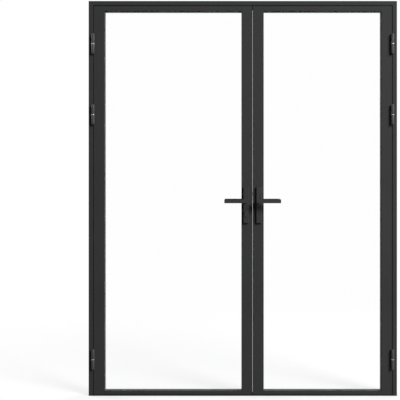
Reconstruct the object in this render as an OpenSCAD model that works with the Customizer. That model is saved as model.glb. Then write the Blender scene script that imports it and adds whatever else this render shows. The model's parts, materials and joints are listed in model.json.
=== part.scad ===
// French doors: an active and a passive glazed leaf in a slim metal frame.
// Millimetres. X runs along the frame, Y from the front to the back, Z up.
// The origin is on the floor under the middle of the frame, halfway through the leaves.

/* [Frame] */
// Overall width of the frame
frame_w = 1640; // [1400:5:2000]
// Overall height of the frame
frame_h = 2100; // [1960:5:2500]
// Width of the frame seen from the front
frame_face = 23.5; // [18:0.5:40]
// Depth of the frame from front to back
frame_depth = 70; // [66:1:100]
// Wall of the hollow frame bar
frame_wall = 2; // [1.5:0.1:3]
// Reach of the stop past the face of the frame
stop_w = 12; // [11:0.5:20]
// Thickness of the stop behind the leaves
stop_t = 15; // [10:0.5:15]
// Thickness of the flat threshold
threshold_t = 3; // [2:0.5:6]
// Height of the lowest fixing hole above the floor
fixing_low_z = 350; // [250:10:450]
// Distance from the top of the frame down to the highest fixing hole
fixing_top_drop = 310; // [200:10:400]
// Diameter of the fixing holes
fixing_d = 8; // [6:0.5:10]

/* [Leaves] */
// Width of the active leaf on the left
active_leaf_w = 844; // [780:1:880]
// Thickness of a leaf
leaf_t = 50; // [46:1:52]
// Gap between a leaf and the frame
leaf_gap = 3; // [2:0.5:4]
// Gap between the two leaves
meeting_gap = 3; // [3:0.25:5]
// How far the rubber fin of the active leaf reaches into that gap
fin_reach = 1.5; // [0.8:0.1:1.5]
// Width of a stile seen from the front
stile_face = 57; // [56:0.5:64]
// Height of the top rail seen from the front
top_rail_face = 28; // [22:0.5:60]
// Height of the bottom rail seen from the front
bottom_rail_face = 19.5; // [16:0.5:120]
// Wall of the hollow stiles and rails
leaf_wall = 2; // [1.5:0.1:2.2]
// Width of the flange that the glass lies against
flange_w = 9; // [8:0.5:9]
// Thickness of that flange
flange_t = 3; // [2.5:0.1:4]
// Rounding of the long edges
edge_r = 1.2; // [0.5:0.1:1.2]

/* [Glazing] */
// Thickness of the glass
glass_t = 10; // [6:1:12]
// Thickness of each glazing gasket
gasket_t = 3; // [2:0.5:4]
// How far a gasket shows past its flange
gasket_lip = 1; // [0.5:0.1:2]
// Space around the edge of the glass
rebate_gap = 2; // [1.5:0.1:3]
// Wall of the hollow glazing beads
bead_wall = 1.5; // [1:0.1:2]
// Length of a setting block under the glass
block_l = 80; // [50:1:120]

/* [Hinges] */
// Distance from the top of a leaf down to the middle of its top hinge
hinge_top_drop = 202.5; // [120:0.5:350]
// Distance between the middles of the two upper hinges
hinge_pair_pitch = 376; // [150:1:600]
// Height of the middle of the bottom hinge
hinge_bottom_z = 196; // [150:1:400]
// Diameter of the hinge barrel
barrel_d = 17; // [15:0.5:20]
// Length of one knuckle
knuckle_h = 49.5; // [35:0.5:60]
// Diameter of the hinge pin
pin_d = 10; // [7:0.5:10]
// Thickness of the washer between the knuckles
washer_t = 3; // [2:0.5:5]
// Space between the barrel and the face of the door
barrel_stand = 0.5; // [0.4:0.1:2]

/* [Handles] */
// Height of the levers above the floor
handle_z = 1036; // [950:1:1100]
// Distance from the meeting edge of a leaf to its spindle
backset = 32.5; // [31.5:0.1:33]
// Width of a handle plate
plate_w = 30; // [26:1:36]
// Height of a handle plate above the spindle
plate_rise = 74.5; // [74:0.5:90]
// Depth of a handle plate below the spindle
plate_drop = 116; // [112:0.5:150]
// Thickness of a handle plate
plate_t = 12; // [6:0.5:14]
// Width of the slope along each long edge of a handle plate
plate_edge = 2.5; // [1:0.5:3]
// Length of a lever from its spindle to its tip
lever_l = 115; // [90:1:140]
// How far a lever runs past its spindle
lever_end = 13; // [10:0.5:15]
// Height of the lever bar
lever_h = 20; // [18:0.5:24]
// Thickness of the lever bar
lever_t = 11; // [8:0.5:14]
// Distance from the face of a leaf to the front of its lever
lever_reach = 60; // [55:1:70]
// Diameter of the lever neck
neck_d = 18; // [16:0.5:20]
// Side of the square spindle
spindle_s = 8; // [7:0.5:8]

/* [Lock] */
// Distance from the spindle down to the key cylinder
cylinder_drop = 60; // [58:0.5:63]
// Distance from the spindle up to the latch bolt
latch_rise = 38; // [36:0.5:42]
// How far the latch bolt stands out of the edge
latch_reach = 11; // [8:0.5:11]
// Height of the latch bolt
latch_h = 16; // [12:0.5:20]
// Height of the deadbolt
deadbolt_h = 32; // [24:0.5:34]
// Width of both bolts through the thickness of the leaf
bolt_w = 11.5; // [9:0.5:11.5]
// Thickness of the lock case
case_t = 16; // [16:0.5:18]
// Thickness of the forend and of the strike plate
forend_t = 3; // [2.5:0.1:4]

/* [Shoot bolts] */
// Diameter of the shoot bolts
shoot_d = 10; // [8:0.5:10]
// How far the top shoot bolt stands up into the head
shoot_engage = 8; // [5:0.5:10]
// Teeth of the pinion, an even number
gear_teeth = 16; // [14:2:20]
// Pitch radius of the pinion
gear_r = 8; // [7.8:0.05:8.2]

/* [Hidden] */
$fn = 48;

// Length by which every cut runs past its piece
overrun = 1;
// Radial room of a part that turns in its bearing
run_fit = 0.06;
// Radial room of a pin that sits fast in its hole
seat_fit = 0.02;
// Room between faces that slide past each other
slide_gap = 0.3;

// Frame and leaves
leaf_front = -leaf_t / 2;
frame_front = leaf_front;
frame_back = frame_front + frame_depth;
stop_front = frame_back - stop_t;
mitre_w = frame_face + stop_w;
fixing_count = 4;
fixing_pitch = (frame_h - fixing_top_drop - fixing_low_z) / (fixing_count - 1);
leaf_z = threshold_t + leaf_gap;
leaf_h = frame_h - frame_face - leaf_gap - leaf_z;
left_edge_x = -frame_w / 2 + frame_face + leaf_gap;
right_edge_x = -left_edge_x;
left_meeting_x = left_edge_x + active_leaf_w;
right_meeting_x = left_meeting_x + meeting_gap;
passive_leaf_w = right_edge_x - right_meeting_x;
stile_box = stile_face - flange_w;
top_box = top_rail_face - flange_w;
bottom_box = bottom_rail_face - flange_w;
cap_t = 3;
drain_d = 6;
groove_w = 2;
groove_depth_share = 0.3;
groove_count = 6;

// Weather seal on the stop
seal_w = 7;
seal_base_t = 1.2;
seal_inset = leaf_gap + (stop_w - leaf_gap - seal_w) / 2;

// Glazing
glass_front = leaf_front + flange_t + gasket_t;
glass_back = glass_front + glass_t;
bead_front = glass_back + gasket_t;
bead_d = leaf_t / 2 - bead_front;
bead_joint = 0.2;
block_shares = [0.25, 0.75];

// Hinges
hinge_x = frame_w / 2 - frame_face - leaf_gap / 2;
hinge_y = leaf_front - barrel_d / 2 - barrel_stand;
hinge_top_z = leaf_z + leaf_h - hinge_top_drop;
hinge_middle_z = hinge_top_z - hinge_pair_pitch;
hinge_zs = [hinge_top_z, hinge_middle_z, hinge_bottom_z];
foot_x = leaf_gap / 2 + edge_r;
pin_cap_t = 1.5;
pin_cap_d = pin_d + 2 * pin_cap_t;

// Handles
plate_r = 3;
plate_h = plate_rise + plate_drop;
screw_d = 5;
screw_head_d = 9;
screw_head_t = 2.5;
screw_bite = 5;
screw_inset = 8.5;
screw_zs = [plate_rise - screw_inset, screw_inset - plate_drop];
neck_seat = 2;
lever_r = 1;
lever_tip_r = 1;
socket_web = 4;
spindle_half = leaf_t / 2 + lever_reach - lever_t - socket_web;
spindle_hole_d = 15;

// Lock in the active leaf
euro_d = 17;
euro_lobe_w = 10;
euro_h = 33;
euro_gap = 0.3;
case_wall = 2;
case_margin = 8;
case_rise = latch_rise + latch_h / 2 + case_margin;
case_drop = cylinder_drop + euro_h - euro_d / 2 + case_margin;
case_room = 1;
case_d = stile_box - leaf_wall - forend_t - case_room;
cavity_t = case_t - 2 * case_wall;
forend_w = 20;
forend_r = 3;
forend_margin = 12;
forend_rise = case_rise + forend_margin;
forend_drop = case_drop + forend_margin;
hub_d = 18;
lever_swing = 40;
arm_rest_angle = 35;
arm_l = latch_reach / (sin(arm_rest_angle) + sin(lever_swing - arm_rest_angle));
arm_tip_r = 3;
arm_t = 8;
latch_bevel_share = 0.33;
latch_bevel_l = 10;
latch_tail_h = 10;
lug_t = 3;
lug_gap = 0.8;
lug_low = arm_l * cos(arm_rest_angle) + lug_gap;
lug_u = backset - arm_l * sin(arm_rest_angle) + arm_tip_r + lug_gap;
deadbolt_l = 22;
cylinder_proud = 4;
cylinder_l = leaf_t + 2 * plate_t + 2 * cylinder_proud;
plug_d = 13.4;
cam_w = 10;
cam_d = 16.4;
cam_nose_w = 4;
cam_nose_r = 10;
key_slot = [1.8, 8.5, 14];

// Rubber fin in the meeting edge of the active leaf, behind the lock
fin_t = 1.2;
fin_foot_w = 4;
fin_seat = leaf_wall / 2;
fin_y = forend_w / 2 + fin_foot_w;

// Keep and shoot bolts in the passive leaf
keep_gap = 0.6;
gear_module = 2 * gear_r / gear_teeth;
addendum_share = 0.8;
dedendum_share = 1.1;
slack_share = 0.32;
tooth_addendum = addendum_share * gear_module;
tooth_dedendum = dedendum_share * gear_module;
tooth_slack = slack_share * gear_module;
tooth_pitch = PI * gear_module;
pressure_angle = 20;
tooth_lean = tan(pressure_angle);
rack_back = 2.2;
rack_t = 9;
pinion_t = 10;
pinion_hub_d = 13.2;
shoot_travel = gear_r * PI / 2;
rack_run = shoot_travel + gear_r + tooth_addendum;
rod_start = rack_run + slide_gap;
rack_tail = gear_r;
gearbox_wall = 1.5;
gearbox_t = 15;
gearbox_half_h = rod_start + 2 * gearbox_wall;
top_rod_u = backset + gear_r;
bottom_rod_u = backset - gear_r;
gearbox_low_u = backset - gear_r - tooth_dedendum - rack_back - slide_gap - gearbox_wall;
gearbox_high_u = backset + gear_r + tooth_dedendum + rack_back + slide_gap + gearbox_wall;
top_tip_z = leaf_z + leaf_h + leaf_gap + shoot_engage;
bottom_tip_z = slide_gap;
keep_hole_d = shoot_d + 2 * keep_gap;

// Finishes
paint = "#3a3a3a";
handle_paint = "#2c2c2c";
steel = "silver";
brass = "goldenrod";
rubber = "#161616";
plastic = "dimgray";
sill_metal = "#303030";
clear_glass = "lightcyan";

// Rectangle from the origin with rounded corners
module soft_square(size, r) {
    union() {
        translate([r, 0])
            square([size[0] - 2 * r, size[1]]);
        translate([0, r])
            square([size[0], size[1] - 2 * r]);
        for (x = [r, size[0] - r], y = [r, size[1] - r])
            translate([x, y])
                circle(r = r);
    }
}

// Stands a flat outline up, so that it is seen from the front, and gives it a depth towards the front
module face_extrude(depth) {
    rotate([90, 0, 0])
        linear_extrude(depth)
            children();
}

// Runs a section drawn in Y and Z along X
module run_along_x(length) {
    rotate([90, 0, 90])
        linear_extrude(length)
            children();
}

// Places of the leaves: X from the hinge edge towards the meeting edge
module on_left_leaf() {
    translate([left_edge_x, 0, leaf_z])
        children();
}

module on_right_leaf() {
    translate([right_edge_x, 0, leaf_z])
        mirror([1, 0, 0])
            children();
}

// Places of the lock work: X from the meeting edge into the leaf, Z from the spindle
module in_left_lock() {
    translate([left_meeting_x, 0, handle_z])
        mirror([1, 0, 0])
            children();
}

module in_right_lock() {
    translate([right_meeting_x, 0, handle_z])
        children();
}

// Hollow L section of the frame: X from the outer edge inwards
module frame_section() {
    difference() {
        union() {
            translate([0, frame_front])
                soft_square([frame_face, frame_depth], edge_r);
            translate([0, stop_front])
                soft_square([mitre_w, stop_t], edge_r);
        }
        translate([frame_wall, frame_front + frame_wall])
            square([frame_face - 2 * frame_wall, frame_depth - 2 * frame_wall]);
        translate([frame_wall, stop_front + frame_wall])
            square([mitre_w - 2 * frame_wall, stop_t - 2 * frame_wall]);
    }
}

// Prism over an outline in X and Z that keeps one side of a mitre
module mitre_keep(points) {
    translate([0, frame_back + overrun, 0])
        face_extrude(frame_depth + 2 * overrun)
            polygon(points);
}

module jamb() {
    outer = -frame_w / 2;
    difference() {
        intersection() {
            translate([outer, 0, threshold_t])
                linear_extrude(frame_h - threshold_t)
                    frame_section();
            mitre_keep([
                [outer - overrun, 0],
                [outer - overrun, frame_h + overrun],
                [outer + mitre_w + overrun, frame_h - mitre_w - overrun],
                [outer + mitre_w + overrun, 0]
            ]);
        }
        for (i = [0 : fixing_count - 1])
            translate([outer - overrun, 0, fixing_low_z + i * fixing_pitch])
                rotate([0, 90, 0])
                    cylinder(h = frame_face + 2 * overrun, d = fixing_d);
    }
}

module left_jamb() {
    color(paint)
        jamb();
}

module right_jamb() {
    color(paint)
        mirror([1, 0, 0])
            jamb();
}

module head() {
    outer = -frame_w / 2;
    color(paint)
        difference() {
            intersection() {
                translate([outer, 0, frame_h])
                    run_along_x(frame_w)
                        rotate(-90)
                            frame_section();
                mitre_keep([
                    [outer - overrun, frame_h + overrun],
                    [-outer + overrun, frame_h + overrun],
                    [-outer - mitre_w - overrun, frame_h - mitre_w - overrun],
                    [outer + mitre_w + overrun, frame_h - mitre_w - overrun]
                ]);
            }
            translate([right_meeting_x + top_rod_u, 0, frame_h - frame_face - overrun])
                cylinder(h = frame_wall + 2 * overrun, d = keep_hole_d);
        }
}

// Flat plate with grip grooves along it and a hole for the bottom shoot bolt
module threshold() {
    groove_depth = threshold_t * groove_depth_share;
    groove_pitch = frame_depth / (groove_count + 1);
    color(sill_metal)
        difference() {
            translate([-frame_w / 2, frame_front, 0])
                run_along_x(frame_w)
                    difference() {
                        square([frame_depth, threshold_t]);
                        for (i = [1 : groove_count])
                            translate([i * groove_pitch - groove_w / 2, threshold_t - groove_depth])
                                square([groove_w, groove_depth + overrun]);
                    }
            translate([right_meeting_x + bottom_rod_u, 0, -overrun])
                cylinder(h = threshold_t + 2 * overrun, d = keep_hole_d);
        }
}

// Bulb seal: flat back on the stop at Y = 0, round front towards the leaf
module seal_section() {
    bulb_r = (stop_front - leaf_t / 2 - slide_gap - seal_base_t) / 2;
    union() {
        translate([0, -seal_base_t])
            square([seal_w, seal_base_t]);
        translate([seal_w / 2, -seal_base_t - bulb_r])
            circle(r = bulb_r);
        translate([seal_w / 2 - bulb_r, -seal_base_t - bulb_r])
            square([2 * bulb_r, bulb_r]);
    }
}

module frame_seal() {
    outer = -frame_w / 2 + frame_face + seal_inset;
    top = frame_h - frame_face - seal_inset;
    color(rubber) {
        for (side = [0, 1])
            mirror([side, 0, 0])
                translate([outer, stop_front, threshold_t])
                    linear_extrude(top - seal_w - threshold_t)
                        seal_section();
        translate([outer, stop_front, top])
            run_along_x(-2 * outer)
                rotate(-90)
                    seal_section();
    }
}

// Hollow section of a stile or rail: X from the edge of the leaf towards the glass
module bar_outline(face) {
    union() {
        translate([0, leaf_front])
            soft_square([face - flange_w, leaf_t], edge_r);
        translate([leaf_wall, leaf_front])
            soft_square([face - leaf_wall, flange_t], edge_r);
    }
}

module bar_chamber(face) {
    translate([leaf_wall, leaf_front + leaf_wall])
        square([face - flange_w - 2 * leaf_wall, leaf_t - 2 * leaf_wall]);
}

// Stile with closed ends and a drain hole in each
module stile() {
    difference() {
        linear_extrude(leaf_h)
            bar_outline(stile_face);
        translate([0, 0, cap_t])
            linear_extrude(leaf_h - 2 * cap_t)
                bar_chamber(stile_face);
        for (z = [-overrun, leaf_h - cap_t - overrun])
            translate([stile_box / 2, leaf_t / 4, z])
                cylinder(h = cap_t + 2 * overrun, d = drain_d);
    }
}

// Bottom rail of a leaf this wide, notched at its ends around the flanges of the stiles
module rail(face, leaf_w) {
    difference() {
        translate([stile_box, 0, 0])
            run_along_x(leaf_w - 2 * stile_box)
                mirror([1, 0])
                    rotate(90)
                        difference() {
                            bar_outline(face);
                            bar_chamber(face);
                        }
        for (x = [stile_box - overrun, leaf_w - stile_face])
            translate([x, leaf_front - overrun, -overrun])
                cube([flange_w + overrun, flange_t + overrun, face + 2 * overrun]);
    }
}

module top_rail(leaf_w) {
    translate([0, 0, leaf_h])
        mirror([0, 0, 1])
            rail(top_rail_face, leaf_w);
}

module glass(leaf_w) {
    inset = stile_box + rebate_gap;
    low = bottom_box + rebate_gap;
    high = leaf_h - top_box - rebate_gap;
    translate([inset, glass_front, low])
        cube([leaf_w - 2 * inset, glass_t, high - low]);
}

// Four hollow beads that hold the glass from the back
module glazing_beads(leaf_w) {
    low = bottom_box;
    high = leaf_h - top_box;
    for (x = [stile_box, leaf_w - stile_face])
        translate([x, bead_front, low])
            linear_extrude(high - low)
                bead_section();
    for (z = [low, high - flange_w])
        translate([stile_face + bead_joint, bead_front, z])
            run_along_x(leaf_w - 2 * stile_face - 2 * bead_joint)
                mirror([1, 0])
                    rotate(90)
                        bead_section();
}

module bead_section() {
    difference() {
        soft_square([flange_w, bead_d], edge_r);
        translate([bead_wall, bead_wall])
            square([flange_w - 2 * bead_wall, bead_d - 2 * bead_wall]);
    }
}

// Two loops of rubber, before and behind the glass
module glazing_gaskets(leaf_w) {
    inset = stile_box + rebate_gap;
    low = bottom_box + rebate_gap;
    high = leaf_h - top_box - rebate_gap;
    sight = stile_face + gasket_lip;
    sight_low = bottom_rail_face + gasket_lip;
    sight_high = leaf_h - top_rail_face - gasket_lip;
    for (y = [glass_front, bead_front])
        translate([0, y, 0])
            face_extrude(gasket_t)
                difference() {
                    translate([inset, low])
                        square([leaf_w - 2 * inset, high - low]);
                    translate([sight, sight_low])
                        square([leaf_w - 2 * sight, sight_high - sight_low]);
                }
}

module setting_blocks(leaf_w) {
    for (share = block_shares)
        translate([leaf_w * share - block_l / 2, glass_front, bottom_box])
            cube([block_l, glass_t, rebate_gap]);
}

module left_hinge_stile() {
    color(paint)
        on_left_leaf()
            stile();
}

module left_meeting_stile() {
    color(paint)
        difference() {
            on_left_leaf()
                meeting_stile(active_leaf_w);
            in_left_lock() {
                handle_holes();
                edge_window();
                cylinder_hole(leaf_t + 2 * overrun);
            }
            on_meeting_edge()
                translate([-overrun, fin_y - fin_foot_w / 2 - seat_fit, -overrun])
                    cube([fin_seat + overrun, fin_foot_w + 2 * seat_fit, leaf_h + 2 * overrun]);
        }
}

module meeting_stile(leaf_w) {
    translate([leaf_w, 0, 0])
        mirror([1, 0, 0])
            stile();
}

module left_top_rail() {
    color(paint)
        on_left_leaf()
            top_rail(active_leaf_w);
}

module left_bottom_rail() {
    color(paint)
        on_left_leaf()
            rail(bottom_rail_face, active_leaf_w);
}

module left_glass() {
    color(clear_glass)
        on_left_leaf()
            glass(active_leaf_w);
}

module left_glazing_beads() {
    color(paint)
        on_left_leaf()
            glazing_beads(active_leaf_w);
}

module left_glazing_gaskets() {
    color(rubber)
        on_left_leaf()
            glazing_gaskets(active_leaf_w);
}

module left_setting_blocks() {
    color(plastic)
        on_left_leaf()
            setting_blocks(active_leaf_w);
}

module right_hinge_stile() {
    color(paint)
        on_right_leaf()
            stile();
}

module right_meeting_stile() {
    color(paint)
        difference() {
            on_right_leaf()
                meeting_stile(passive_leaf_w);
            in_right_lock() {
                handle_holes();
                edge_window();
            }
            translate([right_meeting_x + top_rod_u, 0, leaf_z + leaf_h - cap_t - overrun])
                cylinder(h = cap_t + 2 * overrun, d = shoot_d + 2 * slide_gap);
            translate([right_meeting_x + bottom_rod_u, 0, leaf_z - overrun])
                cylinder(h = cap_t + 2 * overrun, d = shoot_d + 2 * slide_gap);
        }
}

module right_top_rail() {
    color(paint)
        on_right_leaf()
            top_rail(passive_leaf_w);
}

module right_bottom_rail() {
    color(paint)
        on_right_leaf()
            rail(bottom_rail_face, passive_leaf_w);
}

module right_glass() {
    color(clear_glass)
        on_right_leaf()
            glass(passive_leaf_w);
}

module right_glazing_beads() {
    color(paint)
        on_right_leaf()
            glazing_beads(passive_leaf_w);
}

module right_glazing_gaskets() {
    color(rubber)
        on_right_leaf()
            glazing_gaskets(passive_leaf_w);
}

module right_setting_blocks() {
    color(plastic)
        on_right_leaf()
            setting_blocks(passive_leaf_w);
}

// Place of the rubber fin: X from the meeting edge of the active leaf into that leaf
module on_meeting_edge() {
    translate([left_meeting_x, 0, leaf_z])
        mirror([1, 0, 0])
            children();
}

// Fin with a rounded tip in the gap, on a foot that sits in a groove of the stile
module fin_section() {
    union() {
        translate([0, fin_y - fin_foot_w / 2])
            square([fin_seat, fin_foot_w]);
        translate([fin_t / 2 - fin_reach, fin_y - fin_t / 2])
            square([fin_reach + fin_seat - fin_t / 2, fin_t]);
        translate([fin_t / 2 - fin_reach, fin_y])
            circle(d = fin_t);
    }
}

module meeting_seal() {
    color(rubber)
        on_meeting_edge()
            linear_extrude(leaf_h)
                fin_section();
}

// Hinges: the frame knuckle is below the washer and the leaf knuckle above it
module at_left_hinge(z) {
    translate([-hinge_x, hinge_y, z])
        children();
}

module at_right_hinge(z) {
    mirror([1, 0, 0])
        at_left_hinge(z)
            children();
}

// Barrel with a foot that reaches back to the face of the door
module knuckle_section(fit) {
    difference() {
        union() {
            circle(d = barrel_d);
            translate([foot_x, 0])
                square([barrel_d / 2 - foot_x, barrel_d / 2 + barrel_stand]);
        }
        circle(d = pin_d + 2 * fit);
    }
}

module leaf_knuckle() {
    color(paint)
        translate([0, 0, washer_t / 2 + slide_gap])
            linear_extrude(knuckle_h)
                knuckle_section(run_fit);
}

module frame_knuckle() {
    color(paint)
        translate([0, 0, -washer_t / 2 - knuckle_h])
            linear_extrude(knuckle_h)
                mirror([1, 0])
                    knuckle_section(seat_fit);
}

module hinge_pin() {
    low = -washer_t / 2 - knuckle_h;
    high = washer_t / 2 + 2 * slide_gap + knuckle_h;
    union() {
        translate([0, 0, low])
            cylinder(h = high - low, d = pin_d);
        translate([0, 0, low - pin_cap_t])
            cylinder(h = pin_cap_t, d = pin_cap_d);
        translate([0, 0, high])
            cylinder(h = pin_cap_t, d = pin_cap_d);
    }
}

module hinge_pins() {
    color(steel)
        for (z = hinge_zs) {
            at_left_hinge(z)
                hinge_pin();
            at_right_hinge(z)
                hinge_pin();
        }
}

module hinge_washer() {
    translate([0, 0, -washer_t / 2])
        difference() {
            cylinder(h = washer_t, d = barrel_d);
            translate([0, 0, -overrun])
                cylinder(h = washer_t + 2 * overrun, d = pin_d + 2 * run_fit);
        }
}

module hinge_washers() {
    color(steel)
        for (z = hinge_zs) {
            at_left_hinge(z)
                hinge_washer();
            at_right_hinge(z)
                hinge_washer();
        }
}

// Handles: cuts that a meeting stile needs for its spindle and screws
module handle_holes() {
    translate([backset, leaf_t / 2 + overrun, 0])
        face_extrude(leaf_t + 2 * overrun) {
            circle(d = spindle_hole_d);
            for (z = screw_zs)
                translate([0, z])
                    circle(d = screw_d + 2 * slide_gap);
        }
}

// Plate with a bearing for the neck and blind holes for the screws
module front_plate() {
    difference() {
        plate_blank();
        for (z = screw_zs)
            translate([backset, leaf_front + overrun, z])
                rotate([90, 0, 0])
                    cylinder(h = screw_bite + overrun, d = screw_d + 2 * seat_fit);
    }
}

// The same plate with countersunk holes, on the back of the leaf
module rear_plate() {
    difference() {
        mirror([0, 1, 0])
            plate_blank();
        for (z = screw_zs)
            translate([backset, leaf_t / 2, z])
                screw_cut();
    }
}

// Room that leaves a slope along each long edge of a plate, drawn in X and Y
module plate_slopes() {
    side = plate_w / 2 + overrun;
    front = side - plate_edge - 2 * overrun;
    polygon([
        [-side, overrun],
        [-side, plate_edge - plate_t + overrun],
        [-front, -plate_t - overrun],
        [front, -plate_t - overrun],
        [side, plate_edge - plate_t + overrun],
        [side, overrun]
    ]);
}

module plate_blank() {
    translate([backset, leaf_front, 0])
        difference() {
            intersection() {
                face_extrude(plate_t)
                    translate([-plate_w / 2, -plate_drop])
                        soft_square([plate_w, plate_h], plate_r);
                translate([0, 0, -plate_drop - overrun])
                    linear_extrude(plate_h + 2 * overrun)
                        plate_slopes();
            }
            translate([0, overrun, 0])
                face_extrude(plate_t + 2 * overrun)
                    circle(d = neck_d + 2 * run_fit);
        }
}

// Room for a countersunk screw, from the face of the leaf outwards
module screw_cut() {
    rotate([-90, 0, 0]) {
        translate([0, 0, -overrun])
            cylinder(h = plate_t + 2 * overrun, d = screw_d + 2 * slide_gap);
        translate([0, 0, plate_t - screw_head_t])
            cylinder(h = screw_head_t, d1 = screw_d + 2 * slide_gap, d2 = screw_head_d + 2 * slide_gap);
        translate([0, 0, plate_t])
            cylinder(h = overrun, d = screw_head_d + 2 * slide_gap);
    }
}

// Screws from the rear plate through the leaf into the front plate
module handle_bolts() {
    tip = leaf_front - screw_bite + slide_gap;
    back = leaf_t / 2 + plate_t;
    for (z = screw_zs)
        translate([backset, tip, z])
            rotate([-90, 0, 0])
                union() {
                    cylinder(h = back - tip, d = screw_d);
                    translate([0, 0, back - tip - screw_head_t])
                        cylinder(h = screw_head_t, d1 = screw_d, d2 = screw_head_d);
                }
}

// Flat bar on a round neck, with a square socket for the spindle
module lever() {
    bar_back = leaf_front - lever_reach + lever_t;
    neck_back = leaf_front - neck_seat;
    translate([backset, 0, 0])
        difference() {
            union() {
                translate([0, neck_back, 0])
                    face_extrude(neck_back - bar_back + lever_t / 2)
                        circle(d = neck_d);
                intersection() {
                    translate([-lever_end, bar_back - lever_t, -lever_h / 2])
                        run_along_x(lever_end + lever_l)
                            soft_square([lever_t, lever_h], lever_r);
                    translate([-lever_end, bar_back - lever_t, -lever_h / 2 - overrun])
                        linear_extrude(lever_h + 2 * overrun)
                            soft_square([lever_end + lever_l, lever_t], lever_tip_r);
                }
            }
            translate([0, neck_back + overrun, 0])
                face_extrude(spindle_half + neck_back + overrun + slide_gap)
                    square(spindle_s + 2 * run_fit, center = true);
        }
}

module spindle() {
    translate([backset, spindle_half, 0])
        face_extrude(2 * spindle_half)
            square(spindle_s, center = true);
}

module left_front_plate() {
    color(handle_paint)
        difference() {
            in_left_lock()
                front_plate();
            in_left_lock()
                cylinder_hole(cylinder_l);
        }
}

module left_rear_plate() {
    color(handle_paint)
        difference() {
            in_left_lock()
                rear_plate();
            in_left_lock()
                cylinder_hole(cylinder_l);
        }
}

module left_handle_bolts() {
    color(steel)
        in_left_lock()
            handle_bolts();
}

module left_front_lever() {
    color(handle_paint)
        in_left_lock()
            lever();
}

module left_rear_lever() {
    color(handle_paint)
        in_left_lock()
            mirror([0, 1, 0])
                lever();
}

module left_spindle() {
    color(steel)
        in_left_lock()
            spindle();
}

module right_front_plate() {
    color(handle_paint)
        in_right_lock()
            front_plate();
}

module right_rear_plate() {
    color(handle_paint)
        in_right_lock()
            rear_plate();
}

module right_handle_bolts() {
    color(steel)
        in_right_lock()
            handle_bolts();
}

module right_front_lever() {
    color(handle_paint)
        in_right_lock()
            lever();
}

module right_rear_lever() {
    color(handle_paint)
        in_right_lock()
            mirror([0, 1, 0])
                lever();
}

module right_spindle() {
    color(steel)
        in_right_lock()
            spindle();
}

// Outline of the forend and of the strike plate, in Y and Z
module forend_outline(room) {
    translate([-forend_w / 2 - room, -forend_drop - room])
        soft_square([forend_w + 2 * room, forend_drop + forend_rise + 2 * room], forend_r);
}

// Window in the edge of a meeting stile
module edge_window() {
    translate([-overrun, 0, 0])
        run_along_x(forend_t + 2 * overrun)
            forend_outline(seat_fit);
}

// Block of the size of the latch bolt or the deadbolt with room around it, to cut its way
module bolt_way(low_u, high_u, room) {
    translate([low_u, -bolt_w / 2 - room, latch_rise - latch_h / 2 - room])
        cube([high_u - low_u, bolt_w + 2 * room, latch_h + 2 * room]);
    translate([low_u, -bolt_w / 2 - room, -cylinder_drop - deadbolt_h / 2 - room])
        cube([high_u - low_u, bolt_w + 2 * room, deadbolt_h + 2 * room]);
}

module lock_forend() {
    color(steel)
        in_left_lock()
            difference() {
                run_along_x(forend_t)
                    forend_outline(0);
                bolt_way(-overrun, forend_t + overrun, slide_gap);
            }
}

// Hollow case with bearings for the follower and a way through for the key cylinder
module lock_case() {
    cavity_u = forend_t + case_wall;
    color(steel)
        in_left_lock()
            difference() {
                translate([forend_t, -case_t / 2, -case_drop])
                    cube([case_d, case_t, case_drop + case_rise]);
                translate([cavity_u, -cavity_t / 2, -case_drop + case_wall])
                    cube([case_d - 2 * case_wall, cavity_t, case_drop + case_rise - 2 * case_wall]);
                bolt_way(forend_t - overrun, cavity_u + overrun, slide_gap / 2);
                translate([backset, case_t, 0])
                    face_extrude(2 * case_t)
                        circle(d = hub_d + 2 * run_fit);
                cylinder_hole(2 * case_t);
            }
}

// Hub on the spindle with an arm that draws the latch bolt back
module lock_follower() {
    color(steel)
        in_left_lock()
            translate([backset, 0, 0])
                difference() {
                    union() {
                        translate([0, case_t / 2, 0])
                            face_extrude(case_t)
                                circle(d = hub_d);
                        translate([0, arm_t / 2, 0])
                            face_extrude(arm_t)
                                rotate(arm_rest_angle) {
                                    translate([-arm_tip_r, 0])
                                        square([2 * arm_tip_r, arm_l]);
                                    translate([0, arm_l])
                                        circle(r = arm_tip_r);
                                }
                    }
                    translate([0, case_t, 0])
                        face_extrude(2 * case_t)
                            square(spindle_s + 2 * run_fit, center = true);
                }
}

// Bevelled head, tail and the lug that the arm of the follower pulls
module latch_bolt() {
    head_back = forend_t + case_wall + lug_t;
    color(steel)
        in_left_lock()
            union() {
                translate([0, 0, latch_rise - latch_h / 2])
                    linear_extrude(latch_h)
                        polygon([
                            [-latch_reach, -bolt_w / 2],
                            [head_back, -bolt_w / 2],
                            [head_back, bolt_w / 2],
                            [latch_bevel_l - latch_reach, bolt_w / 2],
                            [-latch_reach, -bolt_w / 2 + bolt_w * latch_bevel_share]
                        ]);
                translate([head_back - overrun, -arm_t / 2, latch_rise - latch_tail_h / 2])
                    cube([lug_u + lug_t - head_back + overrun, arm_t, latch_tail_h]);
                translate([lug_u, -arm_t / 2, lug_low])
                    cube([lug_t, arm_t, latch_rise + latch_tail_h / 2 - lug_low]);
            }
}

module deadbolt() {
    color(steel)
        in_left_lock()
            translate([0, -bolt_w / 2, -cylinder_drop - deadbolt_h / 2])
                cube([deadbolt_l, bolt_w, deadbolt_h]);
}

// Round head and lobe of the key cylinder, seen from the front, with room around it
module euro_outline(room) {
    lobe_drop = euro_h - euro_d / 2 - euro_lobe_w / 2;
    union() {
        circle(d = euro_d + 2 * room);
        translate([-euro_lobe_w / 2 - room, -lobe_drop])
            square([euro_lobe_w + 2 * room, lobe_drop]);
        translate([0, -lobe_drop])
            circle(d = euro_lobe_w + 2 * room);
    }
}

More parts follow.
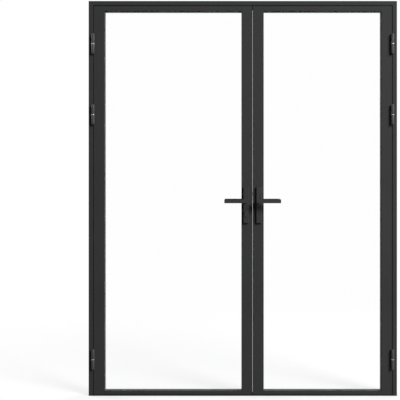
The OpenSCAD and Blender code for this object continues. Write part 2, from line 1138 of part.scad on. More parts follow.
module cylinder_hole(length) {
    translate([backset, length / 2, -cylinder_drop])
        face_extrude(length)
            euro_outline(euro_gap);
}

// Body with a through bore for the plug and a slot in the middle for the cam
module cylinder_body() {
    slot_w = cam_w + 2 * slide_gap;
    slot_low = cam_nose_r + slide_gap;
    color(brass)
        in_left_lock()
            translate([backset, 0, -cylinder_drop])
                difference() {
                    translate([0, cylinder_l / 2, 0])
                        face_extrude(cylinder_l)
                            euro_outline(0);
                    translate([0, cylinder_l / 2 + overrun, 0])
                        face_extrude(cylinder_l + 2 * overrun)
                            circle(d = plug_d + 2 * run_fit);
                    translate([-euro_d, -slot_w / 2, -slot_low])
                        cube([2 * euro_d, slot_w, slot_low + euro_d]);
                }
}

// Plug with a keyway at each end and the cam that throws the deadbolt
module cylinder_plug() {
    color(brass)
        in_left_lock()
            translate([backset, 0, -cylinder_drop])
                difference() {
                    union() {
                        translate([0, cylinder_l / 2, 0])
                            face_extrude(cylinder_l)
                                circle(d = plug_d);
                        translate([0, cam_w / 2, 0])
                            face_extrude(cam_w) {
                                circle(d = cam_d);
                                translate([-cam_nose_w / 2, -cam_nose_r])
                                    square([cam_nose_w, cam_nose_r]);
                            }
                    }
                    for (side = [0, 1])
                        mirror([0, side, 0])
                            translate([-key_slot[0] / 2, -cylinder_l / 2 - overrun, -key_slot[1] / 2])
                                cube([key_slot[0], key_slot[2] + overrun, key_slot[1]]);
                }
}

// Keep of the latch bolt and the deadbolt, flush in the edge of the passive leaf
module strike_plate() {
    color(steel)
        in_right_lock()
            difference() {
                run_along_x(forend_t)
                    forend_outline(0);
                bolt_way(-overrun, forend_t + overrun, keep_gap);
            }
}

// Tooth of the pinion, pointing along X, between its root and its tip
function tooth_half(r) = tooth_pitch / 4 - tooth_slack / 2 - (r - gear_r) * tooth_lean;

module pinion_outline() {
    root = gear_r - tooth_dedendum;
    tip = gear_r + tooth_addendum;
    union() {
        circle(r = root);
        for (i = [0 : gear_teeth - 1])
            rotate(i * 360 / gear_teeth)
                polygon([
                    [root - tooth_addendum, -tooth_half(root)],
                    [root, -tooth_half(root)],
                    [tip, -tooth_half(tip)],
                    [tip, tooth_half(tip)],
                    [root, tooth_half(root)],
                    [root - tooth_addendum, tooth_half(root)]
                ]);
    }
}

module gearbox_pinion() {
    color(steel)
        in_right_lock()
            translate([backset, 0, 0])
                difference() {
                    union() {
                        translate([0, pinion_t / 2, 0])
                            face_extrude(pinion_t)
                                pinion_outline();
                        translate([0, gearbox_t / 2, 0])
                            face_extrude(gearbox_t)
                                circle(d = pinion_hub_d);
                    }
                    translate([0, gearbox_t, 0])
                        face_extrude(2 * gearbox_t)
                            square(spindle_s + 2 * run_fit, center = true);
                }
}

// Rack to the right of a pinion at the origin: teeth towards the pinion, gap at Y = 0
module rack_outline() {
    root = gear_r + tooth_dedendum;
    tip = gear_r - tooth_addendum;
    half_root = tooth_pitch / 4 - tooth_slack / 2 + tooth_dedendum * tooth_lean;
    half_tip = tooth_pitch / 4 - tooth_slack / 2 - tooth_addendum * tooth_lean;
    low = -floor(rack_tail / tooth_pitch);
    high = floor(rack_run / tooth_pitch);
    union() {
        translate([root, -rack_tail])
            square([rack_back, rack_tail + rod_start]);
        for (i = [low : high])
            translate([0, (i + 0.5) * tooth_pitch])
                polygon([
                    [root + rack_back / 2, -half_root],
                    [root, -half_root],
                    [tip, -half_tip],
                    [tip, half_tip],
                    [root, half_root],
                    [root + rack_back / 2, half_root]
                ]);
    }
}

// Rack and rod of the top shoot bolt, in the place of the lock work
module shoot_bolt(tip_distance) {
    union() {
        translate([backset, rack_t / 2, 0])
            face_extrude(rack_t)
                rack_outline();
        translate([top_rod_u, 0, rod_start])
            cylinder(h = tip_distance - rod_start, d = shoot_d);
    }
}

module top_shoot_bolt() {
    color(steel)
        in_right_lock()
            shoot_bolt(top_tip_z - handle_z);
}

module bottom_shoot_bolt() {
    color(steel)
        in_right_lock()
            translate([2 * backset, 0, 0])
                rotate([0, 180, 0])
                    shoot_bolt(handle_z - bottom_tip_z);
}

// Closed case round the pinion and racks, with ways out for the rods
module gearbox_case() {
    inner_t = rack_t + 2 * slide_gap + gearbox_wall;
    color(steel)
        in_right_lock()
            difference() {
                translate([gearbox_low_u, -gearbox_t / 2, -gearbox_half_h])
                    cube([gearbox_high_u - gearbox_low_u, gearbox_t, 2 * gearbox_half_h]);
                translate([gearbox_low_u + gearbox_wall, -inner_t / 2, -gearbox_half_h + gearbox_wall])
                    cube([
                        gearbox_high_u - gearbox_low_u - 2 * gearbox_wall,
                        inner_t,
                        2 * gearbox_half_h - 2 * gearbox_wall
                    ]);
                translate([backset, gearbox_t, 0])
                    face_extrude(2 * gearbox_t)
                        circle(d = pinion_hub_d + 2 * run_fit);
                translate([top_rod_u, 0, 0])
                    cylinder(h = gearbox_half_h + overrun, d = shoot_d + 2 * slide_gap);
                translate([bottom_rod_u, 0, -gearbox_half_h - overrun])
                    cylinder(h = gearbox_half_h + overrun, d = shoot_d + 2 * slide_gap);
            }
}

left_jamb();
right_jamb();
head();
threshold();
frame_seal();
at_left_hinge(hinge_top_z) frame_knuckle();  // left_top_frame_knuckle
at_left_hinge(hinge_middle_z) frame_knuckle();  // left_middle_frame_knuckle
at_left_hinge(hinge_bottom_z) frame_knuckle();  // left_bottom_frame_knuckle
at_right_hinge(hinge_top_z) frame_knuckle();  // right_top_frame_knuckle
at_right_hinge(hinge_middle_z) frame_knuckle();  // right_middle_frame_knuckle
at_right_hinge(hinge_bottom_z) frame_knuckle();  // right_bottom_frame_knuckle
hinge_pins();
hinge_washers();
at_left_hinge(hinge_top_z) leaf_knuckle();  // left_top_leaf_knuckle
at_left_hinge(hinge_middle_z) leaf_knuckle();  // left_middle_leaf_knuckle
at_left_hinge(hinge_bottom_z) leaf_knuckle();  // left_bottom_leaf_knuckle
at_right_hinge(hinge_top_z) leaf_knuckle();  // right_top_leaf_knuckle
at_right_hinge(hinge_middle_z) leaf_knuckle();  // right_middle_leaf_knuckle
at_right_hinge(hinge_bottom_z) leaf_knuckle();  // right_bottom_leaf_knuckle
left_hinge_stile();
left_meeting_stile();
left_top_rail();
left_bottom_rail();
left_glass();
left_glazing_beads();
left_glazing_gaskets();
left_setting_blocks();
right_hinge_stile();
right_meeting_stile();
right_top_rail();
right_bottom_rail();
right_glass();
right_glazing_beads();
right_glazing_gaskets();
right_setting_blocks();
meeting_seal();
left_front_plate();
left_rear_plate();
left_handle_bolts();
left_front_lever();
left_rear_lever();
left_spindle();
right_front_plate();
right_rear_plate();
right_handle_bolts();
right_front_lever();
right_rear_lever();
right_spindle();
lock_case();
lock_forend();
lock_follower();
latch_bolt();
deadbolt();
cylinder_body();
cylinder_plug();
strike_plate();
gearbox_case();
gearbox_pinion();
top_shoot_bolt();
bottom_shoot_bolt();
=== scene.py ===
"""Looks of a pair of glazed french doors: finishes, rubber, screws, studio and camera."""
import json
import math

import bmesh
import bpy
from mathutils import Matrix, Vector


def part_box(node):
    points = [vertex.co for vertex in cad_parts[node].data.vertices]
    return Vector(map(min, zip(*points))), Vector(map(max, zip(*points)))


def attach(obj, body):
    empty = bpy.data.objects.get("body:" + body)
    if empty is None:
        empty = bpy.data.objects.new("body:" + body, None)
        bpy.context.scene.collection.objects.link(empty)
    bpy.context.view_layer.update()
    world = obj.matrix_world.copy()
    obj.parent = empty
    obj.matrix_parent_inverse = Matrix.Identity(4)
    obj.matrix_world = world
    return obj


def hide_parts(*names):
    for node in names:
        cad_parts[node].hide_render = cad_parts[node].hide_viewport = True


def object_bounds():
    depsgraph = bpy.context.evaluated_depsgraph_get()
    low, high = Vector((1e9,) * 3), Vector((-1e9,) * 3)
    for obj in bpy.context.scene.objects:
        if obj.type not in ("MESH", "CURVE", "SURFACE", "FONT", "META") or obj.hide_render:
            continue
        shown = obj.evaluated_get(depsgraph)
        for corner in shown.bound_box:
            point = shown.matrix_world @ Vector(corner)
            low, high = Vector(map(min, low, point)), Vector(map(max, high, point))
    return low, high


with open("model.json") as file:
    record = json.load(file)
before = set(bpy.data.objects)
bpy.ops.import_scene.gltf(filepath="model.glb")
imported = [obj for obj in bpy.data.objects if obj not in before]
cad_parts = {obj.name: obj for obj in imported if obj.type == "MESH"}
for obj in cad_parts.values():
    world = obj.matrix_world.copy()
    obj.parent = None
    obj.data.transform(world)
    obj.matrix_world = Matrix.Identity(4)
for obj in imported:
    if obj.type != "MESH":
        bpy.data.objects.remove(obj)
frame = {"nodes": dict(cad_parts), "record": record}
cad_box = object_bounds()
nodes = frame["nodes"]
slot_of = {part["node"]: part["material_slot"] for part in frame["record"]["subparts"]}

# Sizes are in metres, angles in degrees, and a share is a part of the size that it stands beside.

# Camera, from the picture's 400 x 400 frame
IMAGE_PX = 400
AXIS_PX = (242.8, 179.6)
DOORS_WIDTH_PX = 308.4
EYE_DISTANCE = 4.25
EYE_HEIGHT = 1.15
SENSOR_MM = 36.0

# Rounding of the edges that the solids leave sharp
COAT_EDGE = 0.0005
FITTING_EDGE = 0.0006
METAL_EDGE = 0.0003
SILL_EDGE = 0.0002
GLASS_EDGE = 0.001
TOOTH_EDGE = 0.0001
EDGE_SEGMENTS = 2
WELD_REACH = 0.00002
FLAT_ANGLE = 0.5
SHARP_ANGLE = 40
SMOOTH_ANGLE = 35
TOOTHED = ("gearbox_pinion", "top_shoot_bolt", "bottom_shoot_bolt")

# Glazing rubber
GASKET_LIP = 0.0009
GASKET_GROOVE = 0.0005
GASKET_STEPS = 6

# Weather seal: its foot as a share of its depth, and the foot's thin edge and slope as shares of the foot
SEAL_FOOT_SHARE = 0.25
SEAL_EDGE_SHARE = 0.6
SEAL_SLOPE_SHARE = 0.5
SEAL_STEPS = 16

# Rubber strip on the meeting edge
STRIP_PROUD = 0.0006
STRIP_WIDTH = 0.003
STRIP_SUNK = 0.0002
STRIP_STEPS = 12

# Hexagon sockets of the screws
SOCKET_ACROSS = 0.003
SOCKET_DEPTH = 0.002
SOCKET_TAPER = 0.96
ROUND_STEPS = 48

# Screws in the plates at the leaves' edges: tip, rim and crown are shares of the radius, the rim's rise
# is a share of how far the head stands proud, and the socket is a share of the full socket's depth
EDGE_SCREW_R = 0.0036
EDGE_SCREW_LENGTH = 0.004
EDGE_SCREW_PROUD = 0.0003
EDGE_SCREW_INSET = 0.006
EDGE_SCREW_TIP = 0.5
EDGE_SCREW_RIM = 0.94
EDGE_SCREW_RIM_RISE = 0.6
EDGE_SCREW_CROWN = 0.7
EDGE_SOCKET_SHARE = 0.6

# Through screws of the handle plates: shank, head and face as shares of the head's radius,
# point and chamfer as shares of the shank's radius, rim as a share of the head's thickness
PLATE_SCREW_SHANK = 5 / 9
PLATE_SCREW_HEAD = 5 / 9
PLATE_SCREW_POINT = 0.8
PLATE_SCREW_CHAMFER = 0.2
PLATE_SCREW_RIM = 0.06
PLATE_SCREW_FACE = 0.97

# Powder coat: size of its orange peel and depth of its relief, both in grains,
# size of the slow changes of tone, and the blue in its grey
COAT_PEEL = 8
COAT_RELIEF = 0.2
COAT_TONE = 0.35
COAT_BLUE = 1.01

# Glass
GLASS_IOR = 1.5
GLASS_HAZE = 0.012
GLASS_DEPTH_COLOUR = (0.62, 0.67, 0.65, 1)
GLASS_DEPTH_DENSITY = 3.5
GLASS_PASSES = (0.885, 0.895, 0.89, 1)

# Studio: pale floor, white surroundings and lamps
FLOOR_SIZE = 40.0
FLOOR_CELLS = 8
FLOOR_NEAR = 1.6
FLOOR_FAR = 3.4
FLOOR_ALBEDO = 0.175
FLOOR_GLOW = 0.725
WHITE = 1.0
AMBIENT = 0.08
KEY_PLACE = (6.0, -5.8, 5.9)
KEY_SIZE = 4.4
KEY_WATTS = 1570
FILL_PLACE = (5.0, 6.0, 5.0)
FILL_SIZE = 4.0
FILL_WATTS = 560
SIDE_PLACE = (-6.0, 3.6, 4.6)
SIDE_SIZE = 4.0
SIDE_WATTS = 560
AIM = (0.0, 0.0, 1.1)


def material(name):
    """A new material with a Principled shader, and its node tree and shader."""
    made = bpy.data.materials.new(name)
    made.use_nodes = True
    return made, made.node_tree, made.node_tree.nodes["Principled BSDF"]


def place(tree, stretch=(1, 1, 1)):
    """Coordinates in metres on the piece itself, scaled along each axis."""
    source = tree.nodes.new("ShaderNodeTexCoord")
    mapping = tree.nodes.new("ShaderNodeMapping")
    mapping.inputs["Scale"].default_value = stretch
    tree.links.new(source.outputs["Object"], mapping.inputs["Vector"])
    return mapping.outputs["Vector"]


def noise(tree, size, detail, stretch=(1, 1, 1)):
    """Noise with features of about this size in metres."""
    node = tree.nodes.new("ShaderNodeTexNoise")
    node.inputs["Scale"].default_value = 1 / size
    node.inputs["Detail"].default_value = detail
    tree.links.new(place(tree, stretch), node.inputs["Vector"])
    return node.outputs["Fac"]


def spread(tree, socket, low, high, start=0.3, end=0.7):
    """Maps the range from start to end, by default the middle of a noise, to the range from low to high."""
    node = tree.nodes.new("ShaderNodeMapRange")
    for name, value in (("From Min", start), ("From Max", end), ("To Min", low), ("To Max", high)):
        node.inputs[name].default_value = value
    tree.links.new(socket, node.inputs["Value"])
    return node.outputs["Result"]


def math_node(tree, operation, first, second):
    """Result of an operation on two sockets or numbers."""
    node = tree.nodes.new("ShaderNodeMath")
    node.operation = operation
    for socket, value in zip(node.inputs, (first, second)):
        if isinstance(value, bpy.types.NodeSocket):
            tree.links.new(value, socket)
        else:
            socket.default_value = value
    return node.outputs[0]


def mottle(tree, fine, fine_range, broad, broad_range):
    """Product of two noises, each brought to a range about 1."""
    return math_node(tree, "MULTIPLY", spread(tree, fine, *fine_range), spread(tree, broad, *broad_range))


def tint(tree, shader, colour, factor):
    """Sets the base colour to a colour times a factor that varies over the surface."""
    node = tree.nodes.new("ShaderNodeVectorMath")
    node.operation = "SCALE"
    node.inputs[0].default_value = colour
    tree.links.new(factor, node.inputs["Scale"])
    tree.links.new(node.outputs["Vector"], shader.inputs["Base Color"])


def roughen(tree, shader, socket, low, high):
    """Lets the roughness follow a noise from low to high."""
    tree.links.new(spread(tree, socket, low, high), shader.inputs["Roughness"])


def bump(tree, shader, height, depth, strength):
    """Fine relief of this depth in metres."""
    node = tree.nodes.new("ShaderNodeBump")
    node.inputs["Distance"].default_value = depth
    node.inputs["Strength"].default_value = strength
    tree.links.new(height, node.inputs["Height"])
    tree.links.new(node.outputs["Normal"], shader.inputs["Normal"])


def powder_coat(name, grey, roughness, gloss, grain_size):
    """Fine-textured powder coat: grain, a faint orange peel and slow changes of tone."""
    made, tree, shader = material(name)
    grain = noise(tree, grain_size, detail=3.0)
    peel = noise(tree, COAT_PEEL * grain_size, detail=1.0)
    tone = noise(tree, COAT_TONE, detail=2.0)
    tint(tree, shader, (grey, grey, COAT_BLUE * grey), mottle(tree, grain, (0.9, 1.1), tone, (0.94, 1.06)))
    roughen(tree, shader, grain, low=roughness - 0.06, high=roughness + 0.08)
    bump(tree, shader, math_node(tree, "ADD", grain, peel), depth=COAT_RELIEF * grain_size, strength=0.35)
    shader.inputs["Specular IOR Level"].default_value = gloss
    return made


def metal(name, colour, roughness, stretch):
    """Bright metal with fine lines along the axes that are stretched."""
    made, tree, shader = material(name)
    lines = noise(tree, size=0.0006, detail=2.0, stretch=stretch)
    stain = noise(tree, size=0.02, detail=3.0)
    tint(tree, shader, colour, mottle(tree, lines, (0.92, 1.06), stain, (0.93, 1.05)))
    roughen(tree, shader, lines, low=roughness - 0.05, high=roughness + 0.12)
    bump(tree, shader, lines, depth=0.00002, strength=0.3)
    shader.inputs["Metallic"].default_value = 1.0
    return made


def rubber_finish(name):
    """Matt black rubber with a faint bloom and moulded grain."""
    made, tree, shader = material(name)
    grain = noise(tree, size=0.0007, detail=2.0)
    bloom = noise(tree, size=0.06, detail=3.0)
    tint(tree, shader, (0.014, 0.014, 0.014), mottle(tree, grain, (0.85, 1.15), bloom, (0.8, 1.3)))
    roughen(tree, shader, bloom, low=0.62, high=0.82)
    bump(tree, shader, grain, depth=0.00006, strength=0.4)
    shader.inputs["Specular IOR Level"].default_value = 0.3
    return made


def plastic_finish(name):
    """Moulded setting block with a grainy face."""
    made, tree, shader = material(name)
    grain = noise(tree, size=0.0012, detail=3.0)
    tone = noise(tree, size=0.03, detail=2.0)
    tint(tree, shader, (0.1, 0.1, 0.1), mottle(tree, grain, (0.92, 1.08), tone, (0.9, 1.1)))
    roughen(tree, shader, grain, low=0.5, high=0.65)
    bump(tree, shader, grain, depth=0.00005, strength=0.3)
    return made


def sill_tone_with_painted_shade(name):
    """Dark anodised aluminium with the lines of its extrusion along X, painted darker still to stand for the
    shade in the gap under the leaves.
    """
    made, tree, shader = material(name)
    lines = noise(tree, size=0.0008, detail=3.0, stretch=(0.004, 1, 1))
    scuff = noise(tree, size=0.05, detail=4.0, stretch=(0.3, 1, 1))
    # Near-black grey: partly the sill's own dark anodising, partly painted shade standing in for the shadow
    # under the leaves.
    tint(tree, shader, (0.018, 0.018, 0.018), mottle(tree, lines, (0.85, 1.15), scuff, (0.9, 1.2)))
    roughen(tree, shader, scuff, low=0.6, high=0.76)
    bump(tree, shader, lines, depth=0.00004, strength=0.3)
    shader.inputs["Specular IOR Level"].default_value = 0.06
    return made


def pass_light(tree, shader):
    """Lets lamps and soft light straight through a pane, which bends and mirrors only what is seen in it."""
    path = tree.nodes.new("ShaderNodeLightPath")
    clear = tree.nodes.new("ShaderNodeBsdfTransparent")
    clear.inputs["Color"].default_value = GLASS_PASSES
    either = tree.nodes.new("ShaderNodeMixShader")
    straight = math_node(tree, "MAXIMUM", path.outputs["Is Shadow Ray"], path.outputs["Is Diffuse Ray"])
    tree.links.new(straight, either.inputs["Fac"])
    tree.links.new(shader.outputs["BSDF"], either.inputs[1])
    tree.links.new(clear.outputs["BSDF"], either.inputs[2])
    tree.links.new(either.outputs["Shader"], tree.nodes["Material Output"].inputs["Surface"])


def glass_finish(name):
    """Clear float glass with a faint wave, a little green in its depth."""
    made, tree, shader = material(name)
    wave = noise(tree, size=0.25, detail=1.0)
    smear = noise(tree, size=0.12, detail=4.0)
    shader.inputs["Base Color"].default_value = (1, 1, 1, 1)
    shader.inputs["Transmission Weight"].default_value = 1.0
    shader.inputs["IOR"].default_value = GLASS_IOR
    roughen(tree, shader, smear, low=0.0, high=GLASS_HAZE)
    bump(tree, shader, wave, depth=0.00002, strength=0.2)
    depth = tree.nodes.new("ShaderNodeVolumeAbsorption")
    depth.inputs["Color"].default_value = GLASS_DEPTH_COLOUR
    depth.inputs["Density"].default_value = GLASS_DEPTH_DENSITY
    tree.links.new(depth.outputs["Volume"], tree.nodes["Material Output"].inputs["Volume"])
    pass_light(tree, shader)
    return made


finishes = {
    "frame_coat": powder_coat("frame_coat", grey=0.032, roughness=0.75, gloss=0.05, grain_size=0.0006),
    "handle_coat": powder_coat("handle_coat", grey=0.031, roughness=0.6, gloss=0.08, grain_size=0.0005),
    "hinge_coat": powder_coat("hinge_coat", grey=0.037, roughness=0.55, gloss=0.2, grain_size=0.0004),
    "glass": glass_finish("glass"),
    "rubber": rubber_finish("rubber"),
    "setting_block": plastic_finish("setting_block"),
    # The sill's near-black tone is partly painted shade.
    "sill_metal": sill_tone_with_painted_shade("sill_metal"),
    "pin_metal": metal("pin_metal", (0.12, 0.12, 0.12), roughness=0.45, stretch=(0.05, 0.05, 1)),
    "hinge_steel": metal("hinge_steel", (0.36, 0.36, 0.36), roughness=0.42, stretch=(0.05, 0.05, 1)),
    "steel": metal("steel", (0.52, 0.53, 0.54), roughness=0.36, stretch=(1, 1, 0.04)),
    "cylinder_metal": metal("cylinder_metal", (0.045, 0.045, 0.047), roughness=0.38, stretch=(1, 0.05, 1)),
}
edge_of = {
    "frame_coat": COAT_EDGE,
    "handle_coat": FITTING_EDGE,
    "hinge_coat": FITTING_EDGE,
    "pin_metal": METAL_EDGE,
    "hinge_steel": METAL_EDGE,
    "steel": METAL_EDGE,
    "sill_metal": SILL_EDGE,
    "cylinder_metal": METAL_EDGE,
    "glass": GLASS_EDGE,
    "setting_block": METAL_EDGE,
}


def soften(node, width):
    """Rounds the sharp edges of a solid that stays as it is, on clean flat faces."""
    weld = node.modifiers.new("joined", "WELD")
    weld.merge_threshold = WELD_REACH
    flat = node.modifiers.new("flat_faces", "DECIMATE")
    flat.decimate_type = "DISSOLVE"
    flat.angle_limit = math.radians(FLAT_ANGLE)
    bevel = node.modifiers.new("soft_edges", "BEVEL")
    bevel.width = width
    bevel.segments = EDGE_SEGMENTS
    bevel.limit_method = "ANGLE"
    bevel.angle_limit = math.radians(SHARP_ANGLE)
    bevel.loop_slide = False
    bevel.harden_normals = True


def dress():
    """Gives every solid its finish and, but for the rubber, its soft edges."""
    for name, node in nodes.items():
        slot = slot_of[name]
        for holder in node.material_slots:
            holder.material = finishes[slot]
        if name in TOOTHED:
            soften(node, TOOTH_EDGE)
        elif slot in edge_of:
            soften(node, edge_of[slot])


def piece(name, mesh, body, slot):
    """Adds a mesh as a smooth piece of the object, with its finish, on the body that carries it."""
    made = bpy.data.meshes.new(name)
    bmesh.ops.recalc_face_normals(mesh, faces=mesh.faces)
    mesh.to_mesh(made)
    mesh.free()
    thing = bpy.data.objects.new(name, made)
    bpy.context.scene.collection.objects.link(thing)
    made.materials.append(finishes[slot])
    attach(thing, body)
    for face in made.polygons:
        face.use_smooth = True
    made.set_sharp_from_angle(angle=math.radians(SMOOTH_ANGLE))
    return thing


def skin(mesh, first, second):
    """Faces between two rings of points."""
    size = len(first)
    for k in range(size):
        after = (k + 1) % size
        mesh.faces.new((first[k], first[after], second[after], second[k]))


def sweep(mesh, outline, path, closed):
    """Runs an outline of (inward, depth) points along corners in X and Z, with mitred corners."""
    count = len(path)
    rings = []
    for i, corner in enumerate(path):
        normals = []
        for a, b in ((i - 1, i), (i, i + 1)):
            if closed or 0 <= a and b < count:
                along = (path[b % count] - path[a % count]).normalized()
                normals.append(Vector((along.y, -along.x)))
        mitre = sum(normals, Vector((0, 0)))
        mitre /= mitre.dot(normals[0])
        rings.append([
            mesh.verts.new((corner.x + mitre.x * u, depth, corner.y + mitre.y * u)) for u, depth in outline
        ])
    for first, second in zip(rings, rings[1:]):
        skin(mesh, first, second)
    if closed:
        skin(mesh, rings[-1], rings[0])
    else:
        mesh.faces.new(rings[0])
        mesh.faces.new(rings[-1])


def gasket_outline(face, back, deep):
    """Wedge gasket from the glass at depth face to what holds it at depth back, with a rounded lip."""
    middle = (face + back) / 2
    third = (back - face) / 3
    outline = []
    for i in range(GASKET_STEPS + 1):
        turn = math.pi / 2 * (1 - 2 * i / GASKET_STEPS)
        outline.append((GASKET_LIP * math.cos(turn), middle + (back - face) / 2 * math.sin(turn)))
    outline += [
        (-deep, face),
        (-deep, face + third),
        (-deep + GASKET_GROOVE, middle),
        (-deep, back - third),
        (-deep, back),
    ]
    return outline


def gaskets(side):
    """Two loops of glazing rubber, before and behind the glass, along the sight line of the flange."""
    low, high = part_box(f"{side}_glazing_gaskets")
    pane_low, pane_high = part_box(f"{side}_glass")
    stiles = (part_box(f"{side}_hinge_stile"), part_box(f"{side}_meeting_stile"))
    left = min(stiles, key=lambda box: box[0].x)[1].x
    right = max(stiles, key=lambda box: box[0].x)[0].x
    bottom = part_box(f"{side}_bottom_rail")[1].z
    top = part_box(f"{side}_top_rail")[0].z
    deep = left - low.x
    path = [Vector((left, bottom)), Vector((left, top)), Vector((right, top)), Vector((right, bottom))]
    mesh = bmesh.new()
    sweep(mesh, gasket_outline(pane_low.y, low.y, deep), path, True)
    sweep(mesh, gasket_outline(pane_high.y, high.y, deep), path, True)
    made = piece(f"{side}_glazing_rubber", mesh, f"{side}_leaf", "rubber")
    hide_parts(f"{side}_glazing_gaskets")


def seal_outline(front, back, width):
    """Bulb seal: a flat foot with two sloped edges on the stop, and a round bulb towards the leaf."""
    foot = (back - front) * SEAL_FOOT_SHARE
    face = back - foot
    edge = back - foot * SEAL_EDGE_SHARE
    bulb_r = (face - front) / 2
    middle = width / 2
    reach = bulb_r + foot * SEAL_SLOPE_SHARE
    outline = [(0, back), (0, edge), (middle - reach, face)]
    for i in range(SEAL_STEPS + 1):
        turn = math.pi * i / SEAL_STEPS
        outline.append((middle - bulb_r * math.cos(turn), face - bulb_r - bulb_r * math.sin(turn)))
    outline += [(middle + reach, face), (width, edge), (width, back)]
    return outline


def weather_seal():
    """One bulb seal up a jamb, along the head and down the other jamb."""
    low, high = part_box("frame_seal")
    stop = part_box("left_jamb")[1].x
    width = min(stop - low.x, high.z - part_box("head")[0].z)
    path = [
        Vector((low.x, low.z)),
        Vector((low.x, high.z)),
        Vector((high.x, high.z)),
        Vector((high.x, low.z)),
    ]
    mesh = bmesh.new()
    sweep(mesh, seal_outline(low.y, high.y, width), path, False)
    made = piece("weather_seal", mesh, "frame", "rubber")
    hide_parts("frame_seal")


def meeting_strip():
    """Half-round rubber strip on the edge of the passive leaf, behind the fin of the active leaf."""
    low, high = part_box("right_meeting_stile")
    middle = (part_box("meeting_seal")[1].y + high.y) / 2
    outline = [(-STRIP_SUNK, middle + STRIP_WIDTH / 2)]
    for i in range(STRIP_STEPS + 1):
        turn = math.pi * i / STRIP_STEPS
        outline.append((STRIP_PROUD * math.sin(turn), middle + STRIP_WIDTH / 2 * math.cos(turn)))
    outline.append((-STRIP_SUNK, middle - STRIP_WIDTH / 2))
    path = [Vector((low.x, high.z - STRIP_WIDTH)), Vector((low.x, low.z + STRIP_WIDTH))]
    mesh = bmesh.new()
    sweep(mesh, outline, path, False)
    piece("meeting_strip", mesh, "right_leaf", "rubber")


def turned(mesh, rings, to_world):
    """Solid of revolution from (radius, height) rings, where a radius may be a function of the angle."""
    made = []
    for radius, height in rings:
        ring = []
        for i in range(ROUND_STEPS):
            angle = 2 * math.pi * i / ROUND_STEPS
            r = radius(angle) if callable(radius) else radius
            ring.append(mesh.verts.new(to_world @ Vector((r * math.cos(angle), r * math.sin(angle), height))))
        made.append(ring)
    for first, second in zip(made, made[1:]):
        skin(mesh, first, second)
    mesh.faces.new(made[0])
    mesh.faces.new(made[-1])


def hexagon(across):
    """Radius of a hexagon with this width across its flats, by angle."""
    step = math.pi / 3
    return lambda angle: across / 2 / math.cos((angle + step / 2) % step - step / 2)


def pointing(direction, at):
    """Placement whose Z axis runs along a direction, at a point."""
    return Matrix.Translation(at) @ Vector(direction).to_track_quat("Z", "Y").to_matrix().to_4x4()


def edge_screws(name, plate, direction, body):
    """Two countersunk screws with hexagon sockets in a plate on the edge of a leaf."""
    low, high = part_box(plate)
    face = high.x if direction > 0 else low.x
    rings = [
        (EDGE_SCREW_R * EDGE_SCREW_TIP, -EDGE_SCREW_LENGTH),
        (EDGE_SCREW_R, -EDGE_SCREW_PROUD),
        (EDGE_SCREW_R * EDGE_SCREW_RIM, EDGE_SCREW_PROUD * EDGE_SCREW_RIM_RISE),
        (EDGE_SCREW_R * EDGE_SCREW_CROWN, EDGE_SCREW_PROUD),
        (hexagon(SOCKET_ACROSS), EDGE_SCREW_PROUD),
        (hexagon(SOCKET_ACROSS * SOCKET_TAPER), EDGE_SCREW_PROUD - SOCKET_DEPTH * EDGE_SOCKET_SHARE),
    ]
    mesh = bmesh.new()
    for z in (low.z + EDGE_SCREW_INSET, high.z - EDGE_SCREW_INSET):
        turned(mesh, rings, pointing((direction, 0, 0), Vector((face, 0, z))))
    piece(name, mesh, body, "steel")


def handle_screws(side):
    """The through screws of the handle plates, with hexagon sockets in their heads."""
    low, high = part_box(f"{side}_handle_bolts")
    head_r = (high.x - low.x) / 2
    shank_r = head_r * PLATE_SCREW_SHANK
    head_t = head_r * PLATE_SCREW_HEAD
    middle = (low.x + high.x) / 2
    length = high.y - low.y
    rings = [
        (shank_r * PLATE_SCREW_POINT, 0),
        (shank_r, shank_r * PLATE_SCREW_CHAMFER),
        (shank_r, length - head_t),
        (head_r, length - head_t * PLATE_SCREW_RIM),
        (head_r * PLATE_SCREW_FACE, length),
        (hexagon(SOCKET_ACROSS), length),
        (hexagon(SOCKET_ACROSS * SOCKET_TAPER), length - SOCKET_DEPTH),
    ]
    mesh = bmesh.new()
    for z in (low.z + head_r, high.z - head_r):
        turned(mesh, rings, pointing((0, 1, 0), Vector((middle, low.y, z))))
    made = piece(f"{side}_plate_screws", mesh, f"{side}_leaf", "steel")
    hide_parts(f"{side}_handle_bolts")


def seen_white(tree):
    """1 for rays that the camera, a reflection or clear glass sends, and 0 for light that falls on things."""
    path = tree.nodes.new("ShaderNodeLightPath")
    first = math_node(tree, "MAXIMUM", path.outputs["Is Camera Ray"], path.outputs["Is Glossy Ray"])
    return math_node(tree, "MAXIMUM", first, path.outputs["Is Transmission Ray"])


def surroundings():
    """White to the eye all round, with a little soft light on things."""
    world = bpy.data.worlds.new("studio")
    bpy.context.scene.world = world
    world.use_nodes = True
    tree = world.node_tree
    background = tree.nodes["Background"]
    background.inputs["Color"].default_value = (1, 1, 1, 1)
    strength = spread(tree, seen_white(tree), AMBIENT, WHITE, start=0, end=1)
    tree.links.new(strength, background.inputs["Strength"])


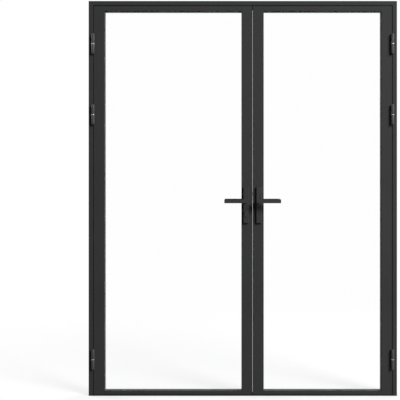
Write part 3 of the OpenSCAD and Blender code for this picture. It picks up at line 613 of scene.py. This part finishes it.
def floor_finish(name):
    """Matt near the doors, where it takes their shadow, and as white as the surroundings further off."""
    paint = bpy.data.materials.new(name)
    paint.use_nodes = True
    tree = paint.node_tree
    tree.nodes.remove(tree.nodes["Principled BSDF"])
    matt = tree.nodes.new("ShaderNodeBsdfDiffuse")
    matt.inputs["Color"].default_value = (FLOOR_ALBEDO, FLOOR_ALBEDO, FLOOR_ALBEDO, 1)
    glow = tree.nodes.new("ShaderNodeEmission")
    both = tree.nodes.new("ShaderNodeAddShader")
    white = tree.nodes.new("ShaderNodeEmission")
    seen = seen_white(tree)
    tree.links.new(math_node(tree, "MULTIPLY", seen, FLOOR_GLOW), glow.inputs["Strength"])
    tree.links.new(spread(tree, seen, AMBIENT, WHITE, start=0, end=1), white.inputs["Strength"])
    tree.links.new(matt.outputs["BSDF"], both.inputs[0])
    tree.links.new(glow.outputs["Emission"], both.inputs[1])
    far = tree.nodes.new("ShaderNodeVectorMath")
    far.operation = "LENGTH"
    tree.links.new(place(tree), far.inputs[0])
    fade = tree.nodes.new("ShaderNodeMixShader")
    tree.links.new(spread(tree, far.outputs["Value"], 0, 1, FLOOR_NEAR, FLOOR_FAR), fade.inputs["Fac"])
    tree.links.new(both.outputs["Shader"], fade.inputs[1])
    tree.links.new(white.outputs["Emission"], fade.inputs[2])
    tree.links.new(fade.outputs["Shader"], tree.nodes["Material Output"].inputs["Surface"])
    return paint


def floor():
    """Flat floor under the doors, which isn't part of the object."""
    mesh = bmesh.new()
    bmesh.ops.create_grid(mesh, x_segments=FLOOR_CELLS, y_segments=FLOOR_CELLS, size=FLOOR_SIZE / 2)
    made = bpy.data.meshes.new("floor")
    mesh.to_mesh(made)
    mesh.free()
    ground = bpy.data.objects.new("floor", made)
    bpy.context.scene.collection.objects.link(ground)
    made.materials.append(floor_finish("floor"))


def lamp(name, at, size, watts):
    """Round soft lamp that shines at the middle of the doors and doesn't show itself."""
    light = bpy.data.lights.new(name, "AREA")
    light.shape = "DISK"
    light.size = size
    light.energy = watts
    holder = bpy.data.objects.new(name, light)
    holder.location = at
    holder.visible_camera = False
    holder.visible_transmission = False
    holder.rotation_euler = (Vector(AIM) - Vector(at)).to_track_quat("-Z", "Y").to_euler()
    bpy.context.scene.collection.objects.link(holder)


def camera():
    """Looks square at the doors, with the frame where the picture has it."""
    low, high = cad_box
    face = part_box("left_hinge_stile")[0].y
    focal_px = DOORS_WIDTH_PX / (high.x - low.x) * EYE_DISTANCE
    lens = bpy.data.cameras.new("camera")
    lens.sensor_width = SENSOR_MM
    lens.lens = focal_px * SENSOR_MM / IMAGE_PX
    lens.shift_x = 0.5 - AXIS_PX[0] / IMAGE_PX
    lens.shift_y = AXIS_PX[1] / IMAGE_PX - 0.5
    eye = bpy.data.objects.new("camera", lens)
    eye.location = (0, face - EYE_DISTANCE, EYE_HEIGHT)
    eye.rotation_euler = (math.pi / 2, 0, 0)
    bpy.context.scene.collection.objects.link(eye)
    bpy.context.scene.camera = eye


dress()
gaskets("left")
gaskets("right")
weather_seal()
meeting_strip()
edge_screws("forend_screws", "lock_forend", 1, "left_leaf")
edge_screws("strike_screws", "strike_plate", -1, "right_leaf")
handle_screws("left")
handle_screws("right")
surroundings()
floor()
lamp("key", KEY_PLACE, KEY_SIZE, KEY_WATTS)
lamp("fill", FILL_PLACE, FILL_SIZE, FILL_WATTS)
lamp("side", SIDE_PLACE, SIDE_SIZE, SIDE_WATTS)
camera()
bpy.context.scene.view_settings.view_transform = "Standard"
